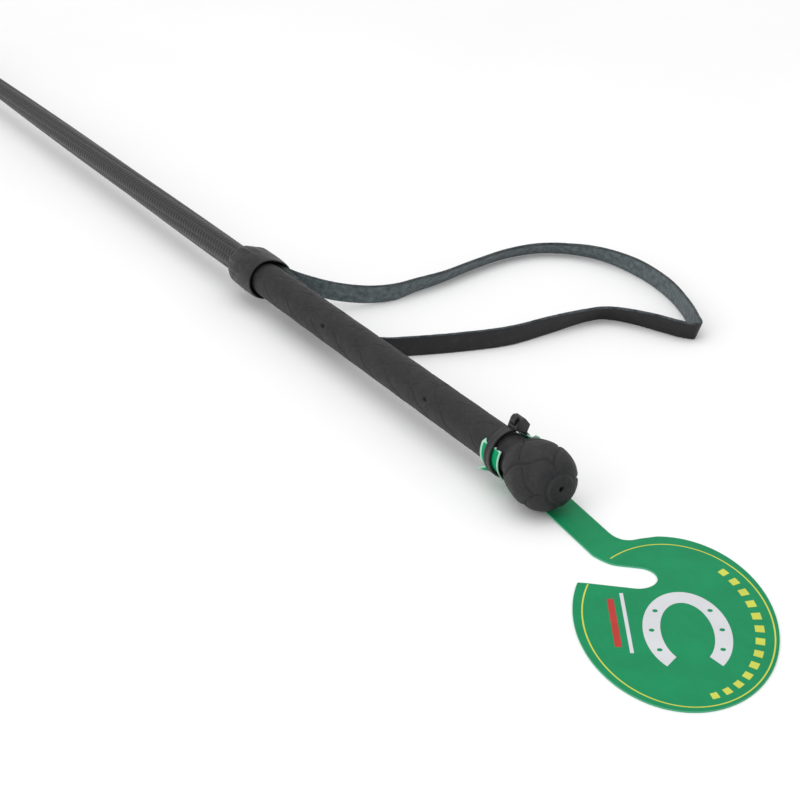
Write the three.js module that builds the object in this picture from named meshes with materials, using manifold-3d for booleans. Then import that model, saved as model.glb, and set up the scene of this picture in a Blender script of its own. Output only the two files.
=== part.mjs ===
// Riding crop: a tapered rod in a filler and a braided cover, a moulded rubber handle that
// ends in a ball knob, a wrist loop held under a collar, a folded keeper bound to the tip,
// and a swing tag held to the neck by a cable tie.
//
// Millimetres, +Z up. The pieces are drawn in the crop's own frame: X runs along the crop
// towards the knob, the knob's centre is at X = 0, and the crop's axis is Y = Z = 0.
// The last lines stand the crop on Z = 0 with its footprint centred on the origin.
import * as THREE from 'three';
import { mergeVertices } from 'three/addons/utils/BufferGeometryUtils.js';
import Module from 'manifold-3d';

const wasm = await Module();
wasm.setup();

// ---------------------------------------------------------------- driving dimensions
const GAP = 0.3; // clearance between neighbouring pieces

const KNOB_RADIUS = 12.2;
const KNOB_SWELL_X = -1; // where the knob is widest
const BUTT_FACE_X = 10.2;
const BUTT_FACE_RADIUS = 4.9;
const VENT_RADIUS = 0.9;
const NECK_X = -22.1;
const NECK_RADIUS = 7.35;
const GRIP_MOUTH_X = -204;
const GRIP_MOUTH_RADIUS = 6.3; // the grip's end narrows to go into the collar
const GRIP_RADIUS = 7.0;
const BORE_END_X = -12;

const SHAFT_HANDLE_RADIUS = 5.45; // braid outside, where it leaves the collar
const SHAFT_TIP_RADIUS = 3.55; // braid outside, where it goes under the tip wrap
const SHAFT_TAPER_START_X = -224;
const SHAFT_END_X = -556;
const TAPER_POWER = 2; // the taper is slow near the handle and quick near the tip
const BRAID_WALL = 0.8;

const ROD_BUTT_RADIUS = 3.0;
const ROD_TIP_RADIUS = 1.8;
const ROD_BUTT_X = -14;
const ROD_TIP_X = -582;

const COLLAR_BACK_X = -219.5;
const COLLAR_RIM_X = -198;
const COLLAR_RIM_RADIUS = 8.65;
const COLLAR_WALL = 0.9;
const COLLAR_BULGE = 2.7; // how far the collar stands out over the strap's two ends
const BULGE_SHARPNESS = 2.6; // how quickly the bulge dies away round the collar

const STRAP_WIDTH = 8.4;
const STRAP_THICKNESS = 1.3;
const STRAP_END_X = -214;
const STRAP_END_WIDTH = 6.4; // the two ends are pared narrower and thinner
const STRAP_END_THICKNESS = 0.8;

const TIP_WRAP_START_X = -531;
const TIP_WRAP_END_X = -557;
const BINDING_END_X = -583;
const WHIPPING_RADIUS = 5.0;
const WHIPPING_WALL = 0.55;
const RING_RADIUS = 5.85;
const RING_WIDTH = 3.4;
const RING_CENTRES_X = [-560.2, -565.6, -571.0];

const KEEPER_WIDTH = 18;
const KEEPER_THICKNESS = 1.3;
const KEEPER_TONGUE_WIDTH = 4.6;
const KEEPER_TONGUE_Z = 2.78;
const KEEPER_TONGUE_LENGTH = 22;

const TAG_THICKNESS = 0.6;
const TAG_CENTRE = [79.3, -4.7];
const TAG_SEMI_AXES = [51.2, 32.4];
const TAG_TURN = THREE.MathUtils.degToRad(-31.3);
const TAG_STRIP_WIDTH = 12.4;
const TAG_STRIP_Y = 6.2; // at the knob's middle
const TAG_STRIP_SLOPE = -0.11;
const TAG_STRIP_END_X = -2; // where the flat strip starts to rise
const TAG_SLOT_END = [53.3, 0];
const TAG_SLOT_RADIUS = 6.8;
const TAG_SLOT_TURN = THREE.MathUtils.degToRad(46);
const TAG_WRAP_WIDTH = 9.4;
const TAG_WRAP_THICKNESS = 0.5;

const TIE_X = NECK_X;
const TIE_WIDTH = 3.6;
const TIE_THICKNESS = 1.1;
const TIE_HEAD = [6.0, 6.4, 5.2]; // along the crop, round it, and out from it
const TIE_HEAD_TURN = THREE.MathUtils.degToRad(66); // round the neck, from +Y towards +Z
const TIE_TAIL_LENGTH = 6.4;

const AXIS_HEIGHT = KNOB_RADIUS + GAP + TAG_THICKNESS; // the knob lies on the tag's strip

// ---------------------------------------------------------------- materials
const finish = (color, roughness, metalness = 0) =>
  new THREE.MeshStandardMaterial({ color, roughness, metalness });

const LOOKS = {
  glassFibre: finish(0xc9c6b4, 0.5),
  filler: finish(0x2a2a2c, 0.7),
  braid: finish(0x17181a, 0.55),
  rubber: finish(0x35363a, 0.75),
  collarLeather: finish(0x232326, 0.5),
  strapLeather: finish(0x26272b, 0.55),
  keeperLeather: finish(0x2a2c30, 0.5),
  waxedThread: finish(0x121214, 0.4),
  blackTape: finish(0x1d1d1f, 0.45),
  nylon: finish(0x141416, 0.4),
  greenSheet: finish(0x12965f, 0.4),
};

const crop = new THREE.Group();

// ---------------------------------------------------------------- geometry helpers

// Shares vertices, drops the empty triangles at a lathe's poles, and turns the faces out.
function solid(geometry) {
  const bare = new THREE.BufferGeometry();
  bare.setAttribute('position', geometry.getAttribute('position').clone());
  if (geometry.index) bare.setIndex(geometry.index.clone());
  const merged = mergeVertices(bare, 1e-4);
  const kept = [];
  const corner = [new THREE.Vector3(), new THREE.Vector3(), new THREE.Vector3()];
  let sixVolumes = 0;
  for (let i = 0; i < merged.index.count; i += 3) {
    const [a, b, c] = [0, 1, 2].map((k) => merged.index.getX(i + k));
    if (a === b || b === c || c === a) continue;
    [a, b, c].forEach((vertex, k) => corner[k].fromBufferAttribute(merged.attributes.position, vertex));
    sixVolumes += corner[0].dot(corner[1].clone().cross(corner[2]));
    kept.push(a, b, c);
  }
  if (sixVolumes < 0) kept.reverse();
  merged.setIndex(kept);
  return merged;
}

function addPiece(name, geometry, look) {
  const geometryOut = solid(geometry);
  geometryOut.computeVertexNormals();
  const mesh = new THREE.Mesh(geometryOut, look);
  mesh.name = name;
  crop.add(mesh);
  return mesh;
}

// A body of revolution about the crop's axis, from a profile of [x, radius] points.
function turned(profile, segments) {
  const points = profile.map(([x, radius]) => new THREE.Vector2(radius, x));
  return new THREE.LatheGeometry(points, segments).rotateZ(-Math.PI / 2);
}

// Swells a body of revolution towards +Y, by swell(x) at the middle of the swelling.
function swollen(geometry, swell) {
  const position = geometry.getAttribute('position');
  for (let i = 0; i < position.count; i++) {
    const [x, y, z] = [position.getX(i), position.getY(i), position.getZ(i)];
    const radius = Math.hypot(y, z);
    if (radius < 1e-6) continue;
    const facing = Math.max(0, y / radius);
    const grown = (radius + swell(x) * facing ** BULGE_SHARPNESS) / radius;
    position.setXYZ(i, x, y * grown, z * grown);
  }
  return geometry;
}

function toManifold(geometry) {
  const merged = solid(geometry);
  return new wasm.Manifold(
    new wasm.Mesh({
      numProp: 3,
      vertProperties: new Float32Array(merged.attributes.position.array),
      triVerts: new Uint32Array(merged.index.array),
    }),
  );
}

function fromManifold(shape) {
  const mesh = shape.getMesh();
  const geometry = new THREE.BufferGeometry();
  geometry.setAttribute('position', new THREE.BufferAttribute(mesh.vertProperties, 3));
  geometry.setIndex(new THREE.BufferAttribute(mesh.triVerts, 1));
  return geometry;
}

function joined(...geometries) {
  return fromManifold(geometries.map(toManifold).reduce((whole, next) => whole.add(next)));
}

// A flat strip swept along stations. Each station has its centre, the direction of the
// strip's width, the direction of its thickness, and its width and thickness there.
function strip(stations) {
  const vertices = [];
  const indices = [];
  for (const { centre, across, out, width, thickness } of stations) {
    for (const [a, b] of [[-1, -1], [1, -1], [1, 1], [-1, 1]]) {
      const p = centre.clone();
      p.addScaledVector(across, (a * width) / 2).addScaledVector(out, (b * thickness) / 2);
      vertices.push(p.x, p.y, p.z);
    }
  }
  for (let i = 0; i + 1 < stations.length; i++) {
    for (let k = 0; k < 4; k++) {
      const [a, b] = [4 * i + k, 4 * i + ((k + 1) % 4)];
      indices.push(a, b, b + 4, a, b + 4, a + 4);
    }
  }
  const last = 4 * (stations.length - 1);
  indices.push(0, 2, 1, 0, 3, 2, last, last + 1, last + 2, last, last + 2, last + 3);
  const geometry = new THREE.BufferGeometry();
  geometry.setAttribute('position', new THREE.Float32BufferAttribute(vertices, 3));
  geometry.setIndex(indices);
  return geometry;
}

// ---------------------------------------------------------------- shaft

// Outside radius of the braided cover at x.
function shaftRadius(x) {
  const share = THREE.MathUtils.clamp(
    (SHAFT_TAPER_START_X - x) / (SHAFT_TAPER_START_X - SHAFT_END_X), 0, 1);
  return SHAFT_HANDLE_RADIUS + (SHAFT_TIP_RADIUS - SHAFT_HANDLE_RADIUS) * share ** TAPER_POWER;
}

function rodRadius(x) {
  return THREE.MathUtils.mapLinear(x, ROD_BUTT_X, ROD_TIP_X, ROD_BUTT_RADIUS, ROD_TIP_RADIUS);
}

// The x values at which the shaft's long pieces are drawn, from the knob to the tip.
function shaftSteps(fromX, toX) {
  const count = 9;
  return Array.from({ length: count + 1 }, (_, i) => THREE.MathUtils.lerp(fromX, toX, i / count));
}

function sleeve(steps, outside, inside) {
  const outer = steps.map((x) => [x, outside(x)]);
  const inner = [...steps].reverse().map((x) => [x, inside(x)]);
  return [...outer, ...inner, outer[0]];
}

function makeCoreRod() {
  const profile = [
    [ROD_BUTT_X, 0],
    [ROD_BUTT_X, ROD_BUTT_RADIUS],
    [ROD_TIP_X, ROD_TIP_RADIUS],
    [ROD_TIP_X, 0],
  ];
  addPiece('core_rod', turned(profile, 20), LOOKS.glassFibre);
}

function makeShaftFiller() {
  const steps = shaftSteps(ROD_BUTT_X, SHAFT_END_X);
  const outside = (x) => shaftRadius(x) - BRAID_WALL - GAP;
  const inside = (x) => rodRadius(x) + GAP;
  addPiece('shaft_filler', turned(sleeve(steps, outside, inside), 16), LOOKS.filler);
}

function makeBraidedCover() {
  const steps = shaftSteps(ROD_BUTT_X, SHAFT_END_X);
  const inside = (x) => shaftRadius(x) - BRAID_WALL;
  addPiece('braided_cover', turned(sleeve(steps, shaftRadius, inside), 24), LOOKS.braid);
}

// ---------------------------------------------------------------- handle

function makeRubberGrip() {
  const bore = SHAFT_HANDLE_RADIUS + GAP;
  const outline = new THREE.SplineCurve([
    new THREE.Vector2(NECK_X, NECK_RADIUS),
    new THREE.Vector2(-17.3, NECK_RADIUS + 0.05),
    new THREE.Vector2(-14.8, 8.1),
    new THREE.Vector2(-12.3, 9.3),
    new THREE.Vector2(-9.3, 10.7),
    new THREE.Vector2(-5.5, 11.8),
    new THREE.Vector2(KNOB_SWELL_X, KNOB_RADIUS),
    new THREE.Vector2(3.6, 11.35),
    new THREE.Vector2(7.3, 9.0),
    new THREE.Vector2(9.6, BUTT_FACE_RADIUS + 0.5),
  ]).getPoints(20);
  const profile = [
    [GRIP_MOUTH_X, bore],
    [GRIP_MOUTH_X, GRIP_MOUTH_RADIUS],
    [COLLAR_RIM_X + 2, GRIP_RADIUS],
    ...outline.map((p) => [p.x, p.y]),
    [BUTT_FACE_X, BUTT_FACE_RADIUS],
    [BUTT_FACE_X, VENT_RADIUS],
    [BORE_END_X, VENT_RADIUS],
    [BORE_END_X, bore],
    [GRIP_MOUTH_X, bore],
  ];
  addPiece('rubber_grip', turned(profile, 32), LOOKS.rubber);
}

// How far the strap's two ends push out what lies over them.
function overStrap(x) {
  return COLLAR_BULGE * THREE.MathUtils.smoothstep(x, COLLAR_BACK_X + 0.5, COLLAR_BACK_X + 6);
}

function makeCollar() {
  const skin = new THREE.SplineCurve([
    new THREE.Vector2(COLLAR_BACK_X, 6.6),
    new THREE.Vector2(-218.2, 7.6),
    new THREE.Vector2(-214, 8.6),
    new THREE.Vector2(-206.5, 9.0),
    new THREE.Vector2(COLLAR_RIM_X, COLLAR_RIM_RADIUS),
  ]).getPoints(8);
  const outer = skin.map((p) => [p.x, p.y]);
  const inner = [
    [COLLAR_RIM_X, COLLAR_RIM_RADIUS - COLLAR_WALL],
    [-206.5, 8.95 - COLLAR_WALL],
    [-211.5, 8.6 - COLLAR_WALL],
    [-213.7, 8.25 - COLLAR_WALL],
    [-215.2, 7.95 - COLLAR_WALL],
    [-217.2, 7.3 - COLLAR_WALL],
    [COLLAR_BACK_X, SHAFT_HANDLE_RADIUS + GAP],
  ];
  const profile = [...outer, ...inner, outer[0]];
  addPiece('collar', swollen(turned(profile, 36), overStrap), LOOKS.collarLeather);
}

// Whipping round the shaft and the strap's two ends, inside the collar.
function makeLoopBinding() {
  const inner = SHAFT_HANDLE_RADIUS + GAP;
  const outer = inner + 0.4;
  const [low, high] = [STRAP_END_X + 1.5, STRAP_END_X + 6.5];
  const profile = [[low, inner], [low, outer], [high, outer], [high, inner], [low, inner]];
  const swell = () => 4 * STRAP_END_THICKNESS + GAP;
  addPiece('loop_binding', swollen(turned(profile, 36), swell), LOOKS.waxedThread);
}

// ---------------------------------------------------------------- wrist loop

// The middle of the strap's width, from the collar along the far branch, round the loop's
// end and back along the grip, and how many degrees its upper edge leans out of the loop.
const STRAP_ROUTE = [
  [STRAP_END_X, 7.25, 0, 0], [-209, 7.3, 0, 0], [-204, 8.15, 0, 0], [-198, 8.85, 0, 0],
  [-191.5, 13.2, -2.0, 0], [-184, 23, -5.2, -3], [-178.5, 37, -8.0, -8],
  [-176.5, 48.5, -8.75, -14], [-178, 60, -8.9, -25], [-179.5, 73, -9.15, -33],
  [-184, 93.5, -9.3, -38], [-186.3, 111.5, -9.35, -40], [-184, 126.3, -9.35, -40],
  [-176.2, 137.7, -9.3, -38], [-163, 145.8, -8.9, -26], [-142.9, 149.8, -8.75, -5],
  [-120, 148, -8.75, 3], [-100.5, 142, -8.75, 6], [-86, 135.3, -8.75, 14],
  [-80, 131.4, -8.8, 20], [-84.5, 127.3, -8.75, 14], [-93.7, 123.2, -8.75, 14],
  [-107.2, 116.4, -8.95, 25], [-114.3, 110, -9.1, 32], [-115.8, 102, -9.0, 28],
  [-115.8, 84.6, -8.75, 10], [-116.1, 64.7, -8.8, 0], [-121.6, 44.7, -8.8, 0],
  [-128.8, 26.2, -8.8, 0], [-133, 17.5, -8.8, 0], [-138, 12.8, -8.75, 0], [-147, 10.4, -8.2, 0],
  [-161, 9.4, -6.4, 0], [-176, 8.9, -3.8, 0], [-188, 8.3, -1.4, 0], [-198, 7.6, 0, 0],
  [-204, 6.95, 0, 0], [-209, 6.2, 0, 0], [STRAP_END_X, 6.2, 0, 0],
];

function makeWristLoop() {
  const route = new THREE.CatmullRomCurve3(
    STRAP_ROUTE.map(([x, y, z]) => new THREE.Vector3(x, y, z)), false, 'centripetal');
  const count = 96;
  const stations = [];
  for (let i = 0; i <= count; i++) {
    const centre = route.getPointAt(i / count);
    const along = route.getTangentAt(i / count);
    const whole = THREE.MathUtils.smoothstep(centre.x, COLLAR_RIM_X - 6, COLLAR_RIM_X + 12);
    const share = route.getUtoTmapping(i / count) * (STRAP_ROUTE.length - 1);
    const before = Math.min(Math.floor(share), STRAP_ROUTE.length - 2);
    const lean = THREE.MathUtils.degToRad(THREE.MathUtils.lerp(
      STRAP_ROUTE[before][3], STRAP_ROUTE[before + 1][3], share - before));
    const flat = new THREE.Vector3(-along.y, along.x, 0).normalize();
    const across = flat.clone().multiplyScalar(Math.sin(lean)).setZ(Math.cos(lean));
    stations.push({
      centre,
      across,
      out: flat.multiplyScalar(Math.cos(lean)).setZ(-Math.sin(lean)),
      width: THREE.MathUtils.lerp(STRAP_END_WIDTH, STRAP_WIDTH, whole),
      thickness: THREE.MathUtils.lerp(STRAP_END_THICKNESS, STRAP_THICKNESS, whole),
    });
  }
  addPiece('wrist_loop', strip(stations), LOOKS.strapLeather);
}

// ---------------------------------------------------------------- tip

function makeTipWrap() {
  const under = (x) => shaftRadius(x) + GAP;
  const profile = [
    [TIP_WRAP_START_X, under(TIP_WRAP_START_X)],
    [TIP_WRAP_START_X, under(TIP_WRAP_START_X) + 0.35],
    [-541, 4.75],
    [-551, 5.15],
    [TIP_WRAP_END_X, 5.3],
    [TIP_WRAP_END_X, under(TIP_WRAP_END_X)],
    [-545, under(-545)],
    [TIP_WRAP_START_X, under(TIP_WRAP_START_X)],
  ];
  addPiece('tip_wrap', turned(profile, 24), LOOKS.blackTape);
}

function makeKeeperWhipping() {
  const start = TIP_WRAP_END_X - GAP;
  const inner = WHIPPING_RADIUS - WHIPPING_WALL;
  const cuff = WHIPPING_RADIUS + 0.45; // the plain band nearest the keeper
  const profile = [
    [start, inner],
    [start, WHIPPING_RADIUS],
    [-573.6, WHIPPING_RADIUS],
    [-574.4, cuff],
    [BINDING_END_X + 1.2, cuff],
    [BINDING_END_X, WHIPPING_RADIUS],
    [BINDING_END_X, inner],
    [start, inner],
  ];
  addPiece('keeper_whipping', turned(profile, 24), LOOKS.waxedThread);
}

function makeBindingRings() {
  const inner = WHIPPING_RADIUS + GAP;
  const edge = (RING_RADIUS + inner) / 2;
  RING_CENTRES_X.forEach((centre, i) => {
    const [low, high] = [centre - RING_WIDTH / 2, centre + RING_WIDTH / 2];
    const profile = [
      [low, inner], [low, edge], [centre - 0.9, RING_RADIUS], [centre + 0.9, RING_RADIUS],
      [high, edge], [high, inner], [low, inner],
    ];
    addPiece(`binding_ring_${i + 1}`, turned(profile, 24), LOOKS.waxedThread);
  });
}

// Side view of the folded keeper, measured from the end of the binding: the upper leaf out
// to the round tip, and the lower leaf, which droops to the surface, back again.
const KEEPER_SIDE = [
  [-10, 2.78], [0, 2.85], [8, 3.3], [20, 4.7], [34, 6.0], [48, 5.6], [59, 2.9], [67, -1.6],
  [71, -6.3], [69, -10.1], [62.5, -12.25], [54, -12.15], [40, -9.9], [22, -6.5], [9, -3.8],
  [0, -2.95], [-10, -2.78],
];

function makeKeeper() {
  const points = KEEPER_SIDE.map(
    ([reach, z]) => new THREE.Vector3(BINDING_END_X - reach, 0, z));
  const tongue = KEEPER_TONGUE_LENGTH;
  points.unshift(new THREE.Vector3(BINDING_END_X + tongue, 0, KEEPER_TONGUE_Z));
  points.push(new THREE.Vector3(BINDING_END_X + tongue, 0, -KEEPER_TONGUE_Z));
  const side = new THREE.CatmullRomCurve3(points, false, 'centripetal');
  const across = new THREE.Vector3(0, 1, 0);
  const count = 72;
  const stations = [];
  for (let i = 0; i <= count; i++) {
    const centre = side.getPointAt(i / count);
    const along = side.getTangentAt(i / count);
    const shoulder = THREE.MathUtils.smoothstep(BINDING_END_X - centre.x, 0.5, 13);
    stations.push({
      centre,
      across,
      out: new THREE.Vector3(-along.z, 0, along.x),
      width: THREE.MathUtils.lerp(KEEPER_TONGUE_WIDTH, KEEPER_WIDTH, shoulder),
      thickness: KEEPER_THICKNESS,
    });
  }
  addPiece('keeper', strip(stations), LOOKS.keeperLeather);
}

// ---------------------------------------------------------------- swing tag and its tie

function stripMiddle(x) {
  return TAG_STRIP_Y + TAG_STRIP_SLOPE * x;
}

function tagOutline() {
  const top = (x) => [x, stripMiddle(x) + TAG_STRIP_WIDTH / 2];
  const bottom = (x) => [x, stripMiddle(x) - TAG_STRIP_WIDTH / 2];
  const along = [Math.cos(TAG_SLOT_TURN), Math.sin(TAG_SLOT_TURN)];
  const slotPoint = (forward, side) => [
    TAG_SLOT_END[0] + forward * along[0] - side * along[1],
    TAG_SLOT_END[1] + forward * along[1] + side * along[0],
  ];
  const outline = new THREE.Shape();
  outline.moveTo(...top(TAG_STRIP_END_X));
  outline.lineTo(...top(25));
  outline.quadraticCurveTo(33, 9, 33.6, 15.8);
  outline.absellipse(...TAG_CENTRE, ...TAG_SEMI_AXES, THREE.MathUtils.degToRad(180),
    THREE.MathUtils.degToRad(-115), true, TAG_TURN);
  outline.quadraticCurveTo(...slotPoint(-19, -6.8), ...slotPoint(-14, -TAG_SLOT_RADIUS));
  outline.lineTo(...slotPoint(0, -TAG_SLOT_RADIUS));
  outline.absarc(...TAG_SLOT_END, TAG_SLOT_RADIUS, TAG_SLOT_TURN - Math.PI / 2,
    TAG_SLOT_TURN + Math.PI / 2, false);
  outline.lineTo(...slotPoint(-7.5, TAG_SLOT_RADIUS));
  outline.quadraticCurveTo(...slotPoint(-10.5, TAG_SLOT_RADIUS), ...bottom(34));
  outline.lineTo(...bottom(TAG_STRIP_END_X));
  outline.closePath();
  return outline;
}

// The strip's rise from the surface, under the knob, to the wrap round the neck.
function tagRise() {
  const floor = -AXIS_HEIGHT + TAG_THICKNESS / 2 + 0.03;
  const wrapRadius = NECK_RADIUS + GAP + TAG_WRAP_THICKNESS / 2;
  const side = new THREE.CatmullRomCurve3([
    new THREE.Vector3(2, stripMiddle(2), floor),
    new THREE.Vector3(-3, stripMiddle(-3), floor),
    new THREE.Vector3(-6.5, 6.6, floor + 0.25),
    new THREE.Vector3(-11, 5.6, -11.4),
    new THREE.Vector3(-14.8, 4.1, -9.5),
    new THREE.Vector3(NECK_X + 3.7, 2.5, -wrapRadius + 0.15),
  ], false, 'centripetal');
  const across = new THREE.Vector3(0, 1, 0);
  const stations = [];
  const count = 16;
  for (let i = 0; i <= count; i++) {
    const along = side.getTangentAt(i / count);
    const narrow = THREE.MathUtils.smoothstep(side.getPointAt(i / count).x, NECK_X + 3.2, -9);
    stations.push({
      centre: side.getPointAt(i / count),
      across,
      out: new THREE.Vector3(-along.z, 0, along.x).normalize(),
      width: THREE.MathUtils.lerp(0.55, 1, narrow) * TAG_STRIP_WIDTH,
      thickness: TAG_THICKNESS,
    });
  }
  return strip(stations);
}

// The strip's end, wrapped most of the way round the neck under the tie.
function tagWrap() {
  const middle = NECK_RADIUS + GAP + TAG_WRAP_THICKNESS / 2;
  const stations = [];
  const count = 44;
  for (let i = 0; i <= count; i++) {
    const turn = THREE.MathUtils.degToRad(THREE.MathUtils.mapLinear(i, 0, count, 45, 345) + 90);
    const out = new THREE.Vector3(0, Math.cos(turn), Math.sin(turn));
    stations.push({
      centre: out.clone().multiplyScalar(middle).setX(NECK_X),
      across: new THREE.Vector3(1, 0, 0),
      out,
      width: TAG_WRAP_WIDTH,
      thickness: TAG_WRAP_THICKNESS,
    });
  }
  return strip(stations);
}

function makeSwingTag() {
  const sheet = new THREE.ExtrudeGeometry(tagOutline(), {
    depth: TAG_THICKNESS, bevelEnabled: false, curveSegments: 48,
  }).translate(0, 0, -AXIS_HEIGHT);
  addPiece('swing_tag', joined(sheet, tagRise(), tagWrap()), LOOKS.greenSheet);
}

function makeCableTie() {
  const inner = NECK_RADIUS + 2 * GAP + TAG_WRAP_THICKNESS;
  const outer = inner + TIE_THICKNESS;
  const [low, high] = [TIE_X - TIE_WIDTH / 2, TIE_X + TIE_WIDTH / 2];
  const band = turned(
    [[low, inner], [low, outer], [high, outer], [high, inner], [low, inner]], 44);
  const head = new THREE.BoxGeometry(TIE_HEAD[0], TIE_HEAD[1], TIE_HEAD[2])
    .translate(0, 0, inner + 0.25 + TIE_HEAD[2] / 2);
  const tail = new THREE.BoxGeometry(TIE_WIDTH - 0.6, 1.1, TIE_TAIL_LENGTH)
    .translate(0, 1.2, outer + TIE_TAIL_LENGTH / 2 - 1);
  const turn = TIE_HEAD_TURN - Math.PI / 2;
  for (const piece of [head, tail]) piece.rotateX(turn).translate(TIE_X, 0, 0);
  addPiece('cable_tie', joined(band, head, tail), LOOKS.nylon);
}

// ---------------------------------------------------------------- assembly
makeCoreRod();
makeShaftFiller();
makeBraidedCover();
makeRubberGrip();
makeCollar();
makeLoopBinding();
makeWristLoop();
makeTipWrap();
makeKeeperWhipping();
makeBindingRings();
makeKeeper();
makeSwingTag();
makeCableTie();

const riding_crop = new THREE.Group();
riding_crop.add(crop);
const extent = new THREE.Box3().setFromObject(riding_crop);
const centre = extent.getCenter(new THREE.Vector3());
crop.position.set(-centre.x, -centre.y, AXIS_HEIGHT);

export default riding_crop;
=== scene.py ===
"""Riding crop: the visual model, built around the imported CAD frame.

Lengths are millimetres in the crop's own frame: X runs along the crop towards the knob,
the knob's centre is at X = 0, and the crop's axis is Y = Z = 0. place() turns them into
metres in the frame. Angles about the axis run from +Y towards +Z.
"""

import math

import bmesh
import bpy
import numpy as np
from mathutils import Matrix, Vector


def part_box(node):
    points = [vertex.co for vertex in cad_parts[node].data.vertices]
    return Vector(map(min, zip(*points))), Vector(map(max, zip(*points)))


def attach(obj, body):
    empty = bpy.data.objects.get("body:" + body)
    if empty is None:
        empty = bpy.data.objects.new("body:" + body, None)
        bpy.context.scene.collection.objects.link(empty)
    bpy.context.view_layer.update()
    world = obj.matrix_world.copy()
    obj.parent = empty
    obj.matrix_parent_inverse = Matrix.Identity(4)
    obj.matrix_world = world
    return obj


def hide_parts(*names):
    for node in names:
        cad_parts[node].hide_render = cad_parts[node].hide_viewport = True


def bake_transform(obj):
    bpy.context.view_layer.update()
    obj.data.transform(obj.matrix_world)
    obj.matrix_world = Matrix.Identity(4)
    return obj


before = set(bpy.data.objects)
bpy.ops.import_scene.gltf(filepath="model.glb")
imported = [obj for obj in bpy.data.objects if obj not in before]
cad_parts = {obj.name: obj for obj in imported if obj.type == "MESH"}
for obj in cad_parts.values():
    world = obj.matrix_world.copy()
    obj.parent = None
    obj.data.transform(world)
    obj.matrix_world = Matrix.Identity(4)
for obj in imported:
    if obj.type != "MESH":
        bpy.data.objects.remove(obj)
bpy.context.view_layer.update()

MM = 0.001
BUTT_FACE_X = 10.2
ROD_LOW, ROD_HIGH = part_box("core_rod")
GRIP_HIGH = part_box("rubber_grip")[1]
KNOB_CENTRE = Vector((GRIP_HIGH.x - BUTT_FACE_X * MM, (ROD_LOW.y + ROD_HIGH.y) / 2,
                      (ROD_LOW.z + ROD_HIGH.z) / 2))
FLOOR_Z = -KNOB_CENTRE.z / MM

NECK_X = -22.1
GRIP_MOUTH_X = -204.0
COLLAR_BACK_X = -219.5
COLLAR_RIM_X = -198.0
COLLAR_BULGE = 2.7
COLLAR_BULGE_SHARPNESS = 4.2
LOOP_BINDING_BULGE = 3.5
LOOP_BINDING_BULGE_SHARPNESS = 2.6
STRAP_END_X = -214.0
SHAFT_TAPER_START_X = -224.0
SHAFT_END_X = -556.0
SHAFT_HANDLE_RADIUS = 5.45
SHAFT_TIP_RADIUS = 3.55
TIP_WRAP_START_X = -531.0
TIP_WRAP_END_X = -557.0
BINDING_END_X = -583.0
TAG_THICKNESS = 0.6


# ---------------------------------------------------------------- camera and light

def make_camera():
    """The photograph's view: from beyond the knob, 27 degrees above the surface."""
    place_mm = Vector((536.92, -391.99, 367.73))
    azimuth, elevation = math.radians(58.16), math.radians(27)
    back = Vector((math.sin(azimuth) * math.cos(elevation),
                   -math.cos(azimuth) * math.cos(elevation), math.sin(elevation)))
    data = bpy.data.cameras.new("photo_view")
    data.sensor_width = 36
    data.lens = 99
    data.clip_start = 0.01
    camera = bpy.data.objects.new("photo_view", data)
    camera.location = KNOB_CENTRE + place_mm * MM
    camera.rotation_euler = back.to_track_quat("Z", "Y").to_euler()
    bpy.context.scene.collection.objects.link(camera)
    bpy.context.scene.camera = camera


def make_light(name, spot, target, size, power):
    data = bpy.data.lights.new(name, "AREA")
    data.shape = "DISK"
    data.size = size
    data.energy = power
    lamp = bpy.data.objects.new(name, data)
    lamp.location = spot
    lamp.rotation_euler = (Vector(spot) - Vector(target)).to_track_quat("Z", "Y").to_euler()
    bpy.context.scene.collection.objects.link(lamp)


def make_studio():
    world = bpy.data.worlds.new("studio")
    world.use_nodes = True
    background = world.node_tree.nodes["Background"]
    background.inputs["Color"].default_value = (1, 1, 1, 1)
    background.inputs["Strength"].default_value = 0.8
    bpy.context.scene.world = world
    bpy.context.scene.view_settings.view_transform = "Standard"
    middle = (0.1, 0, 0)
    make_light("key", (0.2, -0.1, 1.7), middle, 2.0, 9)
    make_light("front", (0.5, -1.2, 0.7), middle, 0.9, 3)
    half = 6.0
    mesh = bpy.data.meshes.new("floor")
    mesh.from_pydata([(-half, -half, 0), (half, -half, 0), (half, half, 0), (-half, half, 0)],
                     [], [(0, 1, 2, 3)])
    floor = bpy.data.objects.new("floor", mesh)
    bpy.context.scene.collection.objects.link(floor)
    mesh.materials.append(floor_paper())


# ---------------------------------------------------------------- material helpers

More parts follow.
